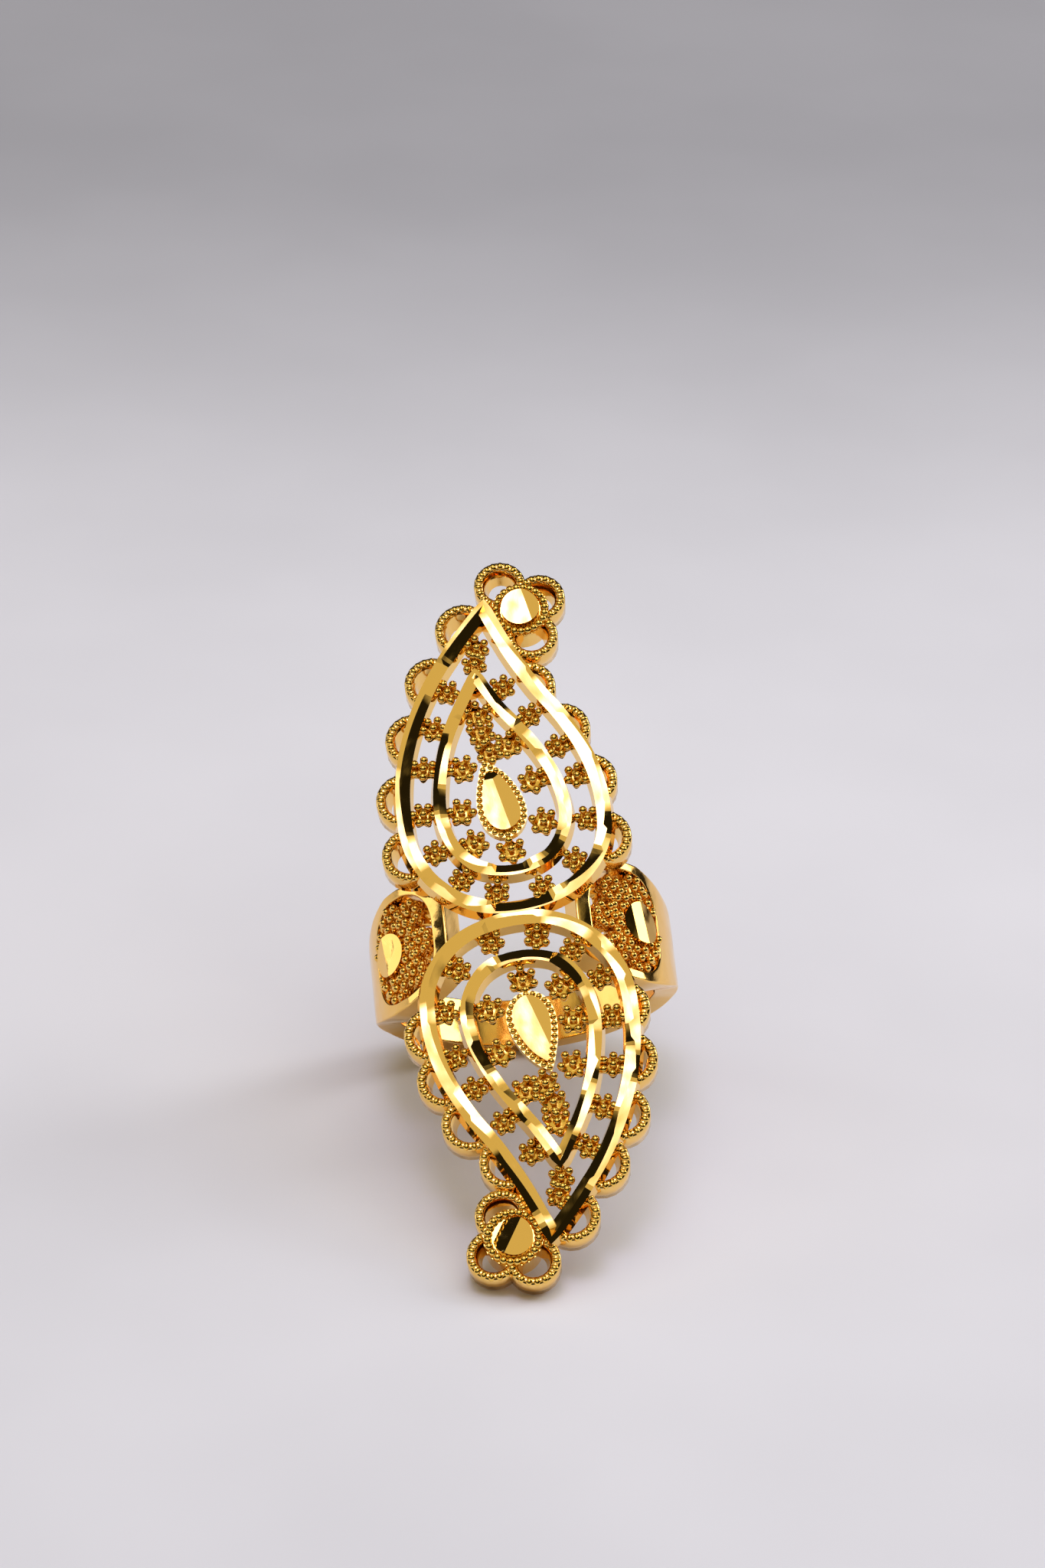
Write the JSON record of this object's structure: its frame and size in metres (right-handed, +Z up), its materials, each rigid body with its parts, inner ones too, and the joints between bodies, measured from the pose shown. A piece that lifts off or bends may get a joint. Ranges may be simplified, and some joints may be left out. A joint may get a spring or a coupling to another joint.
{
  "type": "gold-plated filigree finger ring",
  "caption": "Long openwork finger ring: two swirled teardrops of cut frames, rosettes, scalloped wire loops and end flowers on a band with pierced shoulders.",
  "frame": {"origin": "centre of the footprint on the ground, with the ring lying as it comes to rest on two petals of one end flower and the rim of its band", "axes": "+Z up from the ground; +Y along the face, level, towards the raised end flower; +X across the face to the right, level"},
  "size_m": [0.0202, 0.0406, 0.0319],
  "materials": {
    "gold_plate": "bright gold plate, polished and cut in facets"
  },
  "bodies": {
    "root": {"filigree_ring": "gold_plate"}
  },
  "joints": []
}
